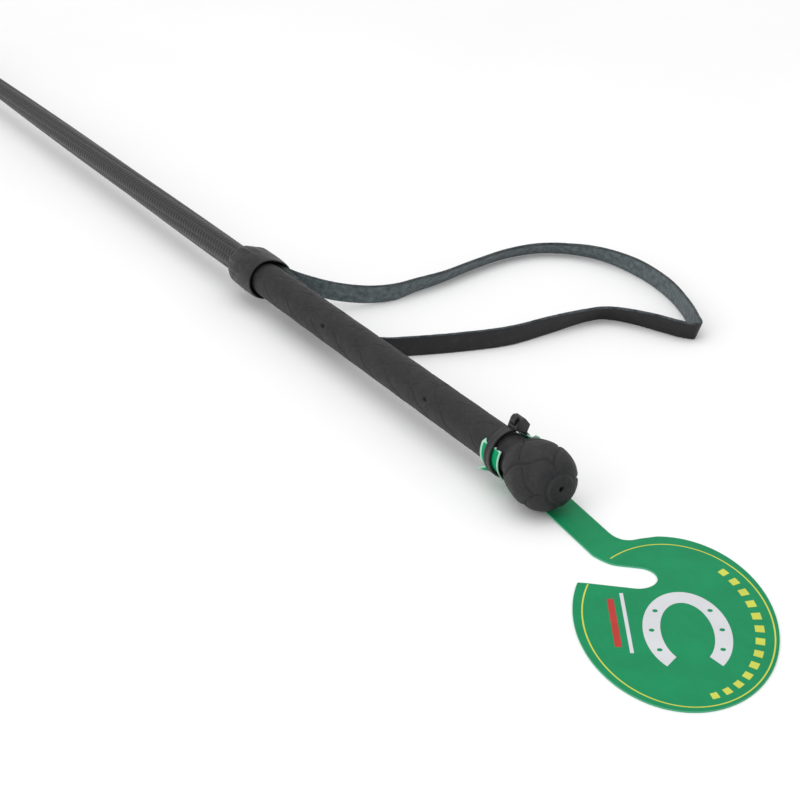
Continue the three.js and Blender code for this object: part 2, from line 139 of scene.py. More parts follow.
class Look:
    """A node material, with short calls for the textures that the looks below share."""

    def __init__(self, name, roughness, specular=0.5, coat=0.0, sheen=0.0,
                 coat_roughness=0.2, coordinates="Object"):
        self.material = bpy.data.materials.new(name)
        self.material.use_nodes = True
        self.tree = self.material.node_tree
        self.shader = self.tree.nodes["Principled BSDF"]
        values = {"Roughness": roughness, "Specular IOR Level": specular,
                  "Coat Weight": coat, "Coat Roughness": coat_roughness, "Sheen Weight": sheen}
        for socket, value in values.items():
            self.shader.inputs[socket].default_value = value
        self.where = self.node("ShaderNodeTexCoord").outputs[coordinates]

    def node(self, kind, **settings):
        made = self.tree.nodes.new(kind)
        for name, value in settings.items():
            setattr(made, name, value)
        return made

    def link(self, source, target):
        self.tree.links.new(source, target)

    def stretched(self, scale):
        mapping = self.node("ShaderNodeMapping")
        mapping.inputs["Scale"].default_value = scale
        self.link(self.where, mapping.inputs["Vector"])
        return mapping.outputs["Vector"]

    def noise(self, size_mm, detail=4.0, roughness=0.55, scale=(1, 1, 1)):
        """Noise whose blobs are about size_mm across."""
        made = self.node("ShaderNodeTexNoise")
        made.inputs["Scale"].default_value = 1 / (size_mm * MM)
        made.inputs["Detail"].default_value = detail
        made.inputs["Roughness"].default_value = roughness
        self.link(self.stretched(scale), made.inputs["Vector"])
        return made.outputs["Fac"]

    def cells(self, size_mm, scale=(1, 1, 1)):
        """How far each point is from the edge of its cell, for cells about size_mm across."""
        made = self.node("ShaderNodeTexVoronoi", feature="DISTANCE_TO_EDGE")
        made.inputs["Scale"].default_value = 1 / (size_mm * MM)
        self.link(self.stretched(scale), made.inputs["Vector"])
        return made.outputs["Distance"]

    def ramp(self, fac, *stops):
        """Each stop is (position, grey level or colour)."""
        made = self.node("ShaderNodeValToRGB")
        elements = made.color_ramp.elements
        while len(elements) < len(stops):
            elements.new(0.5)
        for element, (position, colour) in zip(elements, stops):
            element.position = position
            grey = isinstance(colour, (int, float))
            element.color = (colour, colour, colour, 1) if grey else (*colour, 1)
        self.link(fac, made.inputs["Fac"])
        return made.outputs["Color"]

    def mix(self, fac, first, second):
        """Each argument is a socket or a plain value."""
        made = self.node("ShaderNodeMix", data_type="RGBA")
        for socket, value in (("Factor", fac), ("A", first), ("B", second)):
            targets = [s for s in made.inputs if s.name == socket and s.enabled]
            if isinstance(value, tuple):
                targets[0].default_value = (*value, 1)
            elif isinstance(value, float):
                targets[0].default_value = value
            else:
                self.link(value, targets[0])
        return [s for s in made.outputs if s.enabled][0]

    def maths(self, operation, first, second=0.0):
        made = self.node("ShaderNodeMath", operation=operation)
        for socket, value in zip(made.inputs, (first, second)):
            if isinstance(value, float):
                socket.default_value = value
            else:
                self.link(value, socket)
        return made.outputs["Value"]

    def colour(self, source):
        self.link(source, self.shader.inputs["Base Color"])

    def rough(self, source):
        self.link(source, self.shader.inputs["Roughness"])

    def bump(self, *layers):
        """Each layer is (height, depth in mm)."""
        below = None
        for height, depth in layers:
            made = self.node("ShaderNodeBump")
            made.inputs["Strength"].default_value = 1.0
            made.inputs["Distance"].default_value = depth * MM
            self.link(height, made.inputs["Height"])
            if below is not None:
                self.link(below, made.inputs["Normal"])
            below = made.outputs["Normal"]
        self.link(below, self.shader.inputs["Normal"])


def floor_paper():
    look = Look("floor_paper", 0.85, specular=0.1)
    look.colour(look.ramp(look.noise(180), (0.3, 0.93), (0.7, 0.96)))
    return look.material


def grip_rubber():
    look = Look("grip_rubber", 0.6, specular=0.3)
    dust = look.ramp(look.noise(5, 6), (0.45, 0.0), (0.72, 1.0))
    base = look.mix(look.ramp(look.noise(1.2, 5), (0.35, 0.0), (0.7, 1.0)),
                    (0.014, 0.014, 0.0155), (0.023, 0.023, 0.025))
    look.colour(look.mix(look.maths("MULTIPLY", dust, 0.3), base, (0.045, 0.043, 0.040)))
    look.rough(look.ramp(look.noise(2.5, 5), (0.3, 0.50), (0.7, 0.68)))
    look.bump((look.noise(0.35, 4), 0.05), (look.noise(2.4, 3), 0.10))
    return look.material


def braid_thread():
    look = Look("braid_thread", 0.4, specular=0.4, sheen=0.1)
    fibre = look.noise(0.22, 3, scale=(0.35, 1, 1))
    look.colour(look.ramp(fibre, (0.3, (0.004, 0.004, 0.0042)), (0.75, (0.015, 0.0145, 0.014))))
    look.rough(look.ramp(look.noise(0.8), (0.3, 0.34), (0.7, 0.55)))
    look.bump((fibre, 0.08))
    return look.material


def grain_leather(name, base, worn, coordinates="Object", crease=0.06):
    look = Look(name, 0.45, specular=0.3, coat=0.08, coat_roughness=0.3, coordinates=coordinates)
    pores = look.cells(0.55)
    wear = look.ramp(look.noise(4, 6), (0.52, 0.0), (0.75, 1.0))
    look.colour(look.mix(look.maths("MULTIPLY", wear, 0.5), base, worn))
    look.rough(look.ramp(look.noise(1.5, 5), (0.3, 0.36), (0.7, 0.56)))
    look.bump((look.ramp(pores, (0.0, 0.0), (0.25, 1.0)), 0.035),
              (look.noise(1.8, 5, scale=(0.5, 1, 1)), crease))
    return look.material


def suede(name, dark, light, coordinates="UV"):
    look = Look(name, 0.95, specular=0.1, sheen=0.15, coordinates=coordinates)
    nap = look.noise(0.35, 6, 0.7)
    blotch = look.noise(2.6, 6, 0.65)
    base = look.mix(look.ramp(blotch, (0.38, 0.0), (0.66, 1.0)), dark, light)
    fleck = look.ramp(nap, (0.55, 0.0), (0.72, 1.0))
    look.colour(look.mix(look.maths("MULTIPLY", fleck, 0.45), base, (0.20, 0.23, 0.24)))
    look.bump((nap, 0.12), (blotch, 0.12))
    return look.material


def waxed_thread():
    look = Look("waxed_thread", 0.3, specular=0.6, coat=0.5, coat_roughness=0.15)
    crackle = look.cells(0.5, scale=(1, 0.8, 0.8))
    look.colour(look.ramp(look.noise(0.6, 5), (0.3, 0.003), (0.75, 0.014)))
    look.rough(look.ramp(look.noise(0.7, 5), (0.3, 0.18), (0.7, 0.5)))
    look.bump((look.ramp(crackle, (0.0, 0.0), (0.3, 1.0)), 0.07), (look.noise(1.2, 4), 0.12))
    return look.material


def wrap_tape():
    look = Look("wrap_tape", 0.42, specular=0.45, coat=0.2)
    speck = look.noise(0.4, 5, 0.7)
    look.colour(look.ramp(speck, (0.35, (0.008, 0.008, 0.009)), (0.8, (0.030, 0.029, 0.029))))
    look.rough(look.ramp(look.noise(0.5, 5), (0.35, 0.28), (0.7, 0.6)))
    look.bump((speck, 0.09), (look.noise(2.0, 3), 0.08))
    return look.material


def moulded_nylon():
    look = Look("moulded_nylon", 0.35, specular=0.5)
    look.colour(look.ramp(look.noise(1.0, 4), (0.3, 0.006), (0.7, 0.012)))
    look.rough(look.ramp(look.noise(0.8, 4), (0.3, 0.26), (0.7, 0.42)))
    look.bump((look.noise(0.3, 3), 0.02))
    return look.material


def tag_print(name, base, shade=0.88, roughness=0.42):
    look = Look(name, roughness, specular=0.12)
    darker = tuple(c * shade for c in base)
    look.colour(look.mix(look.ramp(look.noise(14, 5), (0.35, 0.0), (0.65, 1.0)), darker, base))
    look.rough(look.ramp(look.noise(1.5, 4), (0.3, roughness - 0.06), (0.7, roughness + 0.1)))
    look.bump((look.noise(0.35, 4), 0.012), (look.noise(9, 2), 0.05))
    return look.material


def plain_resin(name, low, high):
    look = Look(name, 0.55)
    look.colour(look.ramp(look.noise(2.0, 5, scale=(0.1, 1, 1)), (0.3, low), (0.7, high)))
    look.bump((look.noise(0.5, 3, scale=(0.1, 1, 1)), 0.02))
    return look.material


# ---------------------------------------------------------------- mesh helpers

def place(points):
    return np.asarray(points, float) * MM + np.array(KNOB_CENTRE)


def smoothstep(value, low, high):
    t = np.clip((value - low) / (high - low), 0, 1)
    return t * t * (3 - 2 * t)


def make_piece(name, points, faces, looks, face_looks=None, uvs=None, smooth=True):
    """A mesh object in metres. uvs is one (u, v) in metres for each vertex."""
    mesh = bpy.data.meshes.new(name)
    mesh.from_pydata(place(points).tolist(), [], [tuple(int(i) for i in f) for f in faces])
    for look in looks:
        mesh.materials.append(look)
    if face_looks is not None:
        mesh.polygons.foreach_set("material_index", np.asarray(face_looks, np.int32))
    mesh.polygons.foreach_set("use_smooth", np.full(len(mesh.polygons), smooth))
    if uvs is not None:
        layer = mesh.uv_layers.new(name="UVMap")
        corners = np.empty(len(mesh.loops), np.int32)
        mesh.loops.foreach_get("vertex_index", corners)
        layer.data.foreach_set("uv", np.asarray(uvs, np.float32)[corners].ravel())
    mesh.update()
    piece = bpy.data.objects.new(name, mesh)
    bpy.context.scene.collection.objects.link(piece)
    turn_faces_out(piece)
    return piece


def turn_faces_out(piece):
    shape = bmesh.new()
    shape.from_mesh(piece.data)
    bmesh.ops.recalc_face_normals(shape, faces=shape.faces)
    shape.to_mesh(piece.data)
    shape.free()


def belongs(piece, body, slot, *nodes):
    """Hangs the piece under its body's empty and hides the CAD nodes that it stands for. The slot, its
    finish, is not used.
    """
    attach(piece, body)
    if nodes:
        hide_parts(*nodes)
    return piece


def curve_through(controls, step):
    """Points every step along a centripetal Catmull-Rom curve through the controls."""
    p = np.asarray(controls, float)
    p = np.vstack([2 * p[0] - p[1], p, 2 * p[-1] - p[-2]])
    fine = []
    for i in range(1, len(p) - 2):
        knots = np.concatenate([[0], np.cumsum(
            np.linalg.norm(np.diff(p[i - 1:i + 3], axis=0), axis=1) ** 0.5)])
        t = np.linspace(knots[1], knots[2], 24, endpoint=False)[:, None]
        a = [p[i - 1 + k] + (p[i + k] - p[i - 1 + k]) * (t - knots[k]) / (knots[k + 1] - knots[k])
             for k in range(3)]
        b = [a[k] + (a[k + 1] - a[k]) * (t - knots[k]) / (knots[k + 2] - knots[k])
             for k in range(2)]
        fine.append(b[0] + (b[1] - b[0]) * (t - knots[1]) / (knots[2] - knots[1]))
    fine = np.vstack([*fine, p[-2][None]])
    return resampled(fine, step)


def resampled(points, step):
    points = np.asarray(points, float)
    reach = np.concatenate([[0], np.cumsum(np.linalg.norm(np.diff(points, axis=0), axis=1))])
    count = max(2, int(round(reach[-1] / step)) + 1)
    wanted = np.linspace(0, reach[-1], count)
    return np.stack([np.interp(wanted, reach, points[:, k]) for k in range(points.shape[1])], 1)


def turned(name, profile, segments, look, relief):
    """A closed body of revolution. A profile row is (x, radius, share of the relief)."""
    rows = np.array(profile, float)
    angle = np.arange(segments) * 2 * math.pi / segments
    x = np.repeat(rows[:, :1], segments, 1)
    turn = np.repeat(angle[None], len(rows), 0)
    radius = rows[:, 1:2] + rows[:, 2:3] * relief(x, turn)
    points = np.stack([x, radius * np.cos(turn), radius * np.sin(turn)], 2).reshape(-1, 3)
    faces = []
    for i in range(len(rows)):
        j = (i + 1) % len(rows)
        for k in range(segments):
            m = (k + 1) % segments
            faces.append((i * segments + k, i * segments + m, j * segments + m, j * segments + k))
    return make_piece(name, points, faces, [look])


STRIP_EDGE_ROUND = 0.4
STRIP_INSIDE_UV_SHIFT = 40


def rounded_section(width, thickness):
    """A flat strip's section, as (across, out, side). Side is 0 out, 1 in and 2 on the edges."""
    half, deep = width / 2, thickness / 2
    r = min(STRIP_EDGE_ROUND, deep * 0.98)
    rows = []
    for across in np.linspace(half - r, -half + r, 9):
        rows.append((across, deep, 0))
    for a in np.linspace(90, 270, 7)[1:-1]:
        turn = math.radians(a)
        rows.append((-half + r + r * math.cos(turn), deep * math.sin(turn), 2))
    for across in np.linspace(-half + r, half - r, 9):
        rows.append((across, -deep, 1))
    for a in np.linspace(-90, 90, 7)[1:-1]:
        turn = math.radians(a)
        rows.append((half - r + r * math.cos(turn), deep * math.sin(turn), 2))
    return rows


def strip(name, centres, across, outs, widths, thicknesses, looks, fray=0.0, seed=1):
    """A flat strip along the centres, with its looks on (outside, inside, edges)."""
    random = np.random.default_rng(seed)
    count = len(centres)
    kinds = [row[2] for row in rounded_section(1, 1)]
    section = len(kinds)
    points, uvs = [], []
    reach = np.concatenate([[0], np.cumsum(np.linalg.norm(np.diff(centres, axis=0), axis=1))])
    jitter = random.normal(0, fray, (count, section))
    for i in range(count):
        for k, (a, o, side) in enumerate(rounded_section(widths[i], thicknesses[i])):
            spread = a + (np.sign(a) * jitter[i, k] if side == 2 else 0)
            points.append(centres[i] + across[i] * spread + outs[i] * o)
            shift = STRIP_INSIDE_UV_SHIFT if side == 1 else 0
            uvs.append((reach[i] * MM, (a + shift) * MM))
    faces, sides = [], []
    for i in range(count - 1):
        for k in range(section):
            m = (k + 1) % section
            faces.append((i * section + k, i * section + m,
                          (i + 1) * section + m, (i + 1) * section + k))
            sides.append(kinds[k] if kinds[k] == kinds[m] else 2)
    last = (count - 1) * section
    faces.append(tuple(range(section)))
    faces.append(tuple(last + k for k in range(section)))
    sides += [2, 2]
    return make_piece(name, points, faces, looks, sides, uvs)


# ---------------------------------------------------------------- shaft

def shaft_radius(x):
    share = np.clip((SHAFT_TAPER_START_X - x) / (SHAFT_TAPER_START_X - SHAFT_END_X), 0, 1)
    return SHAFT_HANDLE_RADIUS + (SHAFT_TIP_RADIUS - SHAFT_HANDLE_RADIUS) * share ** 2


def braid_relief(x, turn):
    """Eight columns of slanted stitches, leaning to alternate sides."""
    columns = 8
    pitch = 2.3
    column = turn * columns / (2 * math.pi) + x / 160
    across = column - np.floor(column)
    lean = np.where(np.floor(column) % 2 == 0, 1.0, -1.0)
    stitch = np.abs(np.sin(math.pi * (x / pitch + lean * (across - 0.5) * 0.8)))
    ridge = np.sin(math.pi * across) ** 0.55
    return 0.42 * ridge + 0.20 * stitch ** 0.7 * ridge - 0.42


def make_braided_cover():
    wall = 0.8
    seen = np.arange(COLLAR_BACK_X + 6, TIP_WRAP_START_X - 2, -0.38)
    hidden_butt = np.linspace(-14, COLLAR_BACK_X + 7, 30)
    hidden_tip = np.linspace(TIP_WRAP_START_X - 3, SHAFT_END_X, 8)
    outer = [(x, shaft_radius(x), 0) for x in hidden_butt]
    outer += [(x, shaft_radius(x) + 0.12, 1) for x in seen]
    outer += [(x, shaft_radius(x), 0) for x in hidden_tip]
    inner = [(x, shaft_radius(x) - wall, 0) for x in np.linspace(SHAFT_END_X, -14, 40)]
    cover = turned("braided_cover_threads", outer + inner, 96, braid_thread(), braid_relief)
    belongs(cover, "crop", "braid", "braided_cover")


def dress_hidden_core():
    """The rod and the filler keep their CAD shapes, inside the braid and the handle."""
    looks = {"core_rod": plain_resin("glass_fibre", (0.50, 0.48, 0.38), (0.62, 0.60, 0.50)),
             "shaft_filler": plain_resin("filler_plastic", (0.018,) * 3, (0.03,) * 3)}
    for node, look in looks.items():
        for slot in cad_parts[node].material_slots:
            slot.material = look


# ---------------------------------------------------------------- handle

# The mould pins' holes: where they are along the grip, and the turn of the first of four.
GRIP_PIN_STATIONS = (-141.5, -67.0)
GRIP_PIN_TURN = math.radians(155)


def grip_outline():
    """The handle's outside, from its mouth in the collar to the rim of the butt face."""
    straight = [(GRIP_MOUTH_X, 6.3), (COLLAR_RIM_X + 2, 7.0), (NECK_X - 8, 7.3)]
    knob = curve_through([(NECK_X, 7.35), (-17.3, 7.4), (-14.8, 8.1), (-12.3, 9.3), (-9.3, 10.7),
                          (-5.5, 11.8), (-1, 12.15), (3.6, 11.35), (7.3, 9.0), (8.9, 6.8),
                          (9.15, 5.5)], 0.3)
    rim = [(9.7, 5.3), (BUTT_FACE_X, 4.9)]
    body = resampled(np.vstack([resampled(straight, 0.4), knob]), 0.36)
    return np.vstack([body, resampled(rim, 0.15)])


def lattice(u, v, groove):
    """Pillows between two crossing families of lines: 1 at their middles, 0 on the lines."""
    bend = 0.07 * np.sin(2 * math.pi * (u - v)) + 0.05 * np.sin(2 * math.pi * (u + v))
    a, b = u + v + bend, u - v + bend
    to_a = np.abs(a - np.round(a))
    to_b = np.abs(b - np.round(b))
    return (1 - np.exp(-(to_a / groove) ** 2)) * (1 - np.exp(-(to_b / groove) ** 2)), to_a, to_b


def grip_relief(x, turn):
    """The embossed plait, faint on the grip and deep on the knob, and the mould-pin holes."""
    around = 4 * turn / (2 * math.pi) + 0.42
    along = x / 19 + 0.1
    lines, near_a, near_b = lattice(around, along, 0.035)
    fade = 0.25 + 0.75 * np.cos(math.pi * (around - along)) ** 2
    on_grip = smoothstep(x, GRIP_MOUTH_X + 8, GRIP_MOUTH_X + 16) * (1 - smoothstep(x, -32, -27))
    relief = on_grip * (0.16 * np.minimum(near_a, near_b) - 0.26 * (1 - lines) * fade)
    deep, near_a, near_b = lattice(around, along, 0.045)
    on_knob = smoothstep(x, -19, -13) * (1 - smoothstep(x, 8.2, 9.0))
    dome = np.sqrt(np.clip(np.minimum(near_a, near_b) * 2, 0, 1))
    relief += on_knob * (0.75 * dome - 0.5 * (1 - deep) - 0.55)
    for station in GRIP_PIN_STATIONS:
        for quarter in range(4):
            side = (turn - GRIP_PIN_TURN - quarter * math.pi / 2 + math.pi) % (2 * math.pi)
            distance = ((x - station) / 1.15) ** 2 + (7.2 * (side - math.pi) / 0.65) ** 2
            relief -= 1.3 * np.clip(1.25 - distance, 0, 1) ** 0.5
    return relief


def make_grip():
    vent, bore, bore_end = 0.9, 5.75, -12.0
    profile = [(x, r, 1) for x, r in grip_outline()]
    profile += [(BUTT_FACE_X, r, 0) for r in (4.0, 3.0, 1.9, 1.35)]
    profile += [(BUTT_FACE_X - 0.12, 1.05, 0), (BUTT_FACE_X - 0.45, vent, 0)]
    profile += [(x, vent, 0) for x in np.linspace(8, bore_end, 8)]
    profile += [(x, bore, 0) for x in np.linspace(bore_end, GRIP_MOUTH_X, 24)]
    grip = turned("grip_and_knob", profile, 216, grip_rubber(), grip_relief)
    belongs(grip, "crop", "grip_rubber", "rubber_grip")


def over_strap(x, turn, bulge, sharpness):
    """Extra radius where a piece stands out over the strap's two ends, on the +Y side."""
    facing = np.clip(np.cos(turn), 0, 1) ** sharpness
    return bulge * smoothstep(x, COLLAR_BACK_X + 0.5, COLLAR_BACK_X + 6) * facing


def collar_relief(x, turn):
    """Folds gathered at the collar's back, dying out towards its rim."""
    gathered = 1 - smoothstep(x, COLLAR_BACK_X + 3, COLLAR_BACK_X + 17)
    folds = np.zeros_like(x)
    for waves, size, phase in ((7, 0.22, 0.4), (11, 0.20, 2.1), (17, 0.16, 4.4), (26, 0.07, 1.3)):
        folds += size * np.sin(waves * turn + phase + 0.05 * x * (waves % 3))
    dents = 0.10 * np.sin(3 * turn + x / 3.1) * np.sin(x / 4.3 + 2 * turn)
    return 0.9 * folds * gathered + dents


def make_collar():
    skin = curve_through([(COLLAR_BACK_X, 6.4), (-218.5, 7.5), (-214.5, 8.6), (-206.5, 9.05),
                          (-201, 8.85), (COLLAR_RIM_X - 0.4, 8.65)], 0.3)
    lip = [(COLLAR_RIM_X - 0.05, 8.5), (COLLAR_RIM_X + 0.05, 8.2), (COLLAR_RIM_X - 0.1, 7.95)]
    lining = resampled([(COLLAR_RIM_X - 0.6, 7.8), (-206.5, 8.05), (-211.5, 7.7), (-213.7, 7.35),
                        (-215.2, 7.05), (-217.2, 6.4), (COLLAR_BACK_X, 5.75)], 0.8)
    profile = [(x, r, float(x < COLLAR_RIM_X - 0.5)) for x, r in skin]
    profile += [(x, r, 0) for x, r in lip] + [(x, r, 0) for x, r in lining]
    collar = turned("collar_leather_sleeve", profile, 144,
                    grain_leather("collar_leather", (0.012, 0.012, 0.0135), (0.05, 0.045, 0.042)),
                    collar_relief)
    swell(collar, COLLAR_BULGE, COLLAR_BULGE_SHARPNESS)
    belongs(collar, "crop", "collar_leather", "collar")


def swell(piece, bulge, sharpness):
    """Pushes a turned piece out over the strap's ends, by up to bulge."""
    points = np.array([v.co for v in piece.data.vertices]) - np.array(KNOB_CENTRE)
    x, y, z = points.T / MM
    radius = np.hypot(y, z)
    grown = radius + over_strap(x, np.arctan2(z, y), bulge, sharpness)
    share = grown / np.maximum(radius, 1e-6)
    moved = place(np.stack([x, y * share, z * share], 1))
    piece.data.vertices.foreach_set("co", moved.astype(np.float32).ravel())
    piece.data.update()


def winding_relief(x, turn):
    """Turns of thread side by side."""
    pitch = 0.5
    return 0.11 * np.abs(np.sin(math.pi * (x / pitch + turn / (2 * math.pi)))) - 0.11


def make_loop_binding(thread):
    inner, outer = 5.75, 6.15
    low, high = STRAP_END_X + 1.5, STRAP_END_X + 6.5
    profile = [(x, outer, 1) for x in np.arange(low, high, 0.1)]
    profile += [(x, inner, 0) for x in np.linspace(high, low, 6)]
    binding = turned("loop_binding_thread", profile, 96, thread, winding_relief)
    swell(binding, LOOP_BINDING_BULGE, LOOP_BINDING_BULGE_SHARPNESS)
    belongs(binding, "crop", "binding_thread", "loop_binding")


# ---------------------------------------------------------------- wrist loop

# The middle of the strap's width, from the collar along the far branch, round the loop's
# end and back along the grip, and how many degrees its upper edge leans out of the loop.
STRAP_ROUTE = (
    (STRAP_END_X, 7.25, 0, 0), (-209, 7.3, 0, 0), (-204, 8.15, 0, 0), (-198, 8.85, 0, 0),
    (-191.5, 13.2, -2.0, 0), (-184, 23, -5.2, -3), (-178.5, 37, -8.0, -8),
    (-176.5, 48.5, -8.75, -14), (-178, 60, -8.9, -25), (-179.5, 73, -9.15, -33),
    (-184, 93.5, -9.3, -38), (-186.3, 111.5, -9.35, -40), (-184, 126.3, -9.35, -40),
    (-176.2, 137.7, -9.3, -38), (-163, 145.8, -8.9, -26), (-142.9, 149.8, -8.75, -5),
    (-120, 148, -8.75, 3), (-100.5, 142, -8.75, 6), (-86, 135.3, -8.75, 14),
    (-80, 131.4, -8.8, 20), (-84.5, 127.3, -8.75, 14), (-93.7, 123.2, -8.75, 14),
    (-107.2, 116.4, -8.95, 25), (-114.3, 110, -9.1, 32), (-115.8, 102, -9.0, 28),
    (-115.8, 84.6, -8.75, 10), (-116.1, 64.7, -8.8, 0), (-121.6, 44.7, -8.8, 0),
    (-128.8, 26.2, -8.8, 0), (-133, 17.5, -8.8, 0), (-138, 12.8, -8.75, 0), (-147, 10.4, -8.2, 0),
    (-161, 9.4, -6.4, 0), (-176, 8.9, -3.8, 0), (-188, 8.3, -1.4, 0), (-198, 7.6, 0, 0),
    (-204, 6.95, 0, 0), (-209, 6.2, 0, 0), (STRAP_END_X, 6.2, 0, 0))


def outward(centres, up):
    """The unit direction out of a strip's face, where the strip's width lies along up."""
    out = np.cross(up, np.gradient(centres, axis=0))
    return out / np.linalg.norm(out, axis=1)[:, None]


def make_wrist_loop():
    route = np.array(STRAP_ROUTE, float)
    centres = curve_through(route[:, :3], 0.7)
    nearest = [np.argmin(np.linalg.norm(centres - point, axis=1)) for point in route[:, :3]]
    lean = np.radians(np.interp(np.arange(len(centres)), nearest, route[:, 3]))[:, None]
    upright = np.tile([0.0, 0.0, 1.0], (len(centres), 1))
    flat = outward(centres, upright)
    up = upright * np.cos(lean) + flat * np.sin(lean)
    out = flat * np.cos(lean) - upright * np.sin(lean)
    whole = smoothstep(centres[:, 0], COLLAR_RIM_X - 6, COLLAR_RIM_X + 12)
    widths = 6.4 + 2.0 * whole
    thicknesses = 0.8 + 0.5 * whole
    looks = [grain_leather("strap_grain", (0.008, 0.008, 0.0095), (0.030, 0.030, 0.033), "UV"),
             suede("strap_suede", (0.062, 0.079, 0.085), (0.135, 0.165, 0.172)),
             suede("strap_cut_edge", (0.026, 0.032, 0.035), (0.085, 0.100, 0.105))]
    loop = strip("wrist_loop_strap", centres, up, out, widths, thicknesses, looks, 0.03, 4)
    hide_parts("wrist_loop")
    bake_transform(loop)


# ---------------------------------------------------------------- tip

def make_tip_wrap():
    skin = curve_through([(TIP_WRAP_START_X, shaft_radius(TIP_WRAP_START_X) + 0.3),
                          (TIP_WRAP_START_X - 1.0, shaft_radius(TIP_WRAP_START_X) + 0.62),
                          (-541, 4.75), (-551, 5.15), (TIP_WRAP_END_X, 5.3)], 0.16)
    inner = [(x, shaft_radius(x) + 0.28, 0) for x in np.linspace(TIP_WRAP_END_X, TIP_WRAP_START_X, 9)]
    profile = [(x, r, 1) for x, r in skin] + inner

    def relief(x, turn):
        laps = np.sin(2 * math.pi * (x / 5.2 + turn / (2 * math.pi)))
        lumps = 0.06 * np.sin(3 * turn + x) * np.sin(1.7 * x + turn)
        return 0.10 * laps * smoothstep(TIP_WRAP_START_X - x, 0.5, 4) + lumps + winding_relief(x, turn)

    wrap = turned("tip_wrap_tape", profile, 72, wrap_tape(), relief)
    belongs(wrap, "crop", "wrap_tape", "tip_wrap")


def make_whipping(thread):
    start = TIP_WRAP_END_X - 0.3
    rows = np.arange(start, BINDING_END_X, -0.11)
    cuff = 0.45 * smoothstep(-rows, 573.4, 574.4) * (1 - smoothstep(-rows, 582.0, 582.9))
    profile = [(x, 5.0 + c, 1) for x, c in zip(rows, cuff)]
    profile += [(x, 4.45, 0) for x in np.linspace(BINDING_END_X, start, 12)]

    def relief(x, turn):
        return winding_relief(x, turn) + 0.07 * np.sin(2 * turn + 1.3 * x)

    whipping = turned("keeper_whipping_thread", profile, 72, thread, relief)
    belongs(whipping, "crop", "binding_thread", "keeper_whipping")


def make_binding_rings(thread):
    for number in (1, 2, 3):
        low, high = (corner.x - KNOB_CENTRE.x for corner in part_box(f"binding_ring_{number}"))
        middle, half = (low + high) / 2 / MM, (high - low) / 2 / MM
        rows = np.linspace(middle - half, middle + half, 30)
        crown = np.sqrt(np.clip(1 - ((rows - middle) / half) ** 2, 0, 1))
        profile = [(x, 5.34 + 0.62 * c, 1) for x, c in zip(rows, crown)]
        profile += [(x, 5.3, 0) for x in (middle + half, middle - half)]

        def relief(x, turn):
            knot = 0.28 * np.exp(-((turn - 2.2 - 0.9 * number) / 0.35) ** 2)
            ends = np.sqrt(np.clip(1 - ((x - middle) / half) ** 2, 0, 1))
            return ends * (0.09 * np.sin(5 * turn + number) + knot) + ends * winding_relief(x, turn)

        ring = turned(f"binding_ring_{number}_thread", profile, 72, thread, relief)
        belongs(ring, "crop", "binding_thread", f"binding_ring_{number}")


# The keeper's middle line seen from the side, from the binding along the upper face, round
# the fold and back: how far it is past the binding, and its height above the crop's axis.
KEEPER_SIDE = (
    (-22, 2.78), (-10, 2.78), (0, 2.85), (8, 3.3), (20, 4.7), (34, 6.0), (48, 5.6), (59, 2.9),
    (67, -1.6), (71, -6.3), (69, -10.1), (62.5, -12.25), (54, -12.15), (40, -9.9), (22, -6.5),
    (9, -3.8), (0, -2.95), (-10, -2.78), (-22, -2.78))


def make_keeper():
    centres = curve_through([(BINDING_END_X - reach, 0, z) for reach, z in KEEPER_SIDE], 0.6)
    across = np.tile([0.0, 1.0, 0.0], (len(centres), 1))
    out = outward(centres, across)
    reach = BINDING_END_X - centres[:, 0]
    widths = 4.6 + 13.4 * smoothstep(reach, 0.5, 13)
    thicknesses = np.full(len(centres), 1.3)
    looks = [grain_leather("keeper_grain", (0.012, 0.012, 0.014), (0.030, 0.031, 0.034), "UV", 0.03),
             suede("keeper_suede", (0.085, 0.115, 0.113), (0.150, 0.190, 0.185)),
             suede("keeper_cut_edge", (0.060, 0.072, 0.074), (0.160, 0.180, 0.182))]
    keeper = strip("keeper_leather_fold", centres, across, -out, widths, thicknesses, looks, 0.04, 9)
    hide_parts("keeper")
    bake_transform(keeper)


# ---------------------------------------------------------------- swing tag

TAG_CENTRE, TAG_SEMI = np.array([79.3, -4.7]), np.array([51.2, 32.4])
RING_CENTRE, RING_SEMI = np.array([81.0, -4.9]), np.array([47.5, 30.2])
HORSESHOE_CENTRE, BARS_CENTRE = np.array([88.0, -6.5]), np.array([82.0, -4.8])
TAG_TURN = math.radians(-31.3)
TAG_STRIP_WIDTH = 12.4
TAG_STRIP_END_X = -2.0
SLOT_END, SLOT_RADIUS, SLOT_TURN = np.array([53.3, 0.0]), 6.8, math.radians(46)
GREEN = (0.005, 0.262, 0.100)
# A lighter copy of the tag's green for where the sheet rises and wraps round the neck: painted light,
# standing in for the light that falls on the bent sheet.
GREEN_WITH_PAINTED_LIGHT = (0.004, 0.330, 0.130)


def turned_axes():
    """The tag's long and short directions, one in each row."""
    c, s = math.cos(TAG_TURN), math.sin(TAG_TURN)
    return np.array([[c, s], [-s, c]])


def oval(degrees, centre=TAG_CENTRE, semi=TAG_SEMI):
    t = np.radians(degrees)
    return centre + np.stack([semi[0] * np.cos(t), semi[1] * np.sin(t)], -1) @ turned_axes()


def strip_middle(x):
    return 6.2 - 0.11 * x


def quadratic(start, control, end, count=12):
    t = np.linspace(0, 1, count)[:, None]
    start, control, end = (np.asarray(p, float) for p in (start, control, end))
    return (1 - t) ** 2 * start + 2 * t * (1 - t) * control + t * t * end


def slot_point(forward, side):
    along = np.array([math.cos(SLOT_TURN), math.sin(SLOT_TURN)])
    return SLOT_END + forward * along + side * np.array([-along[1], along[0]])


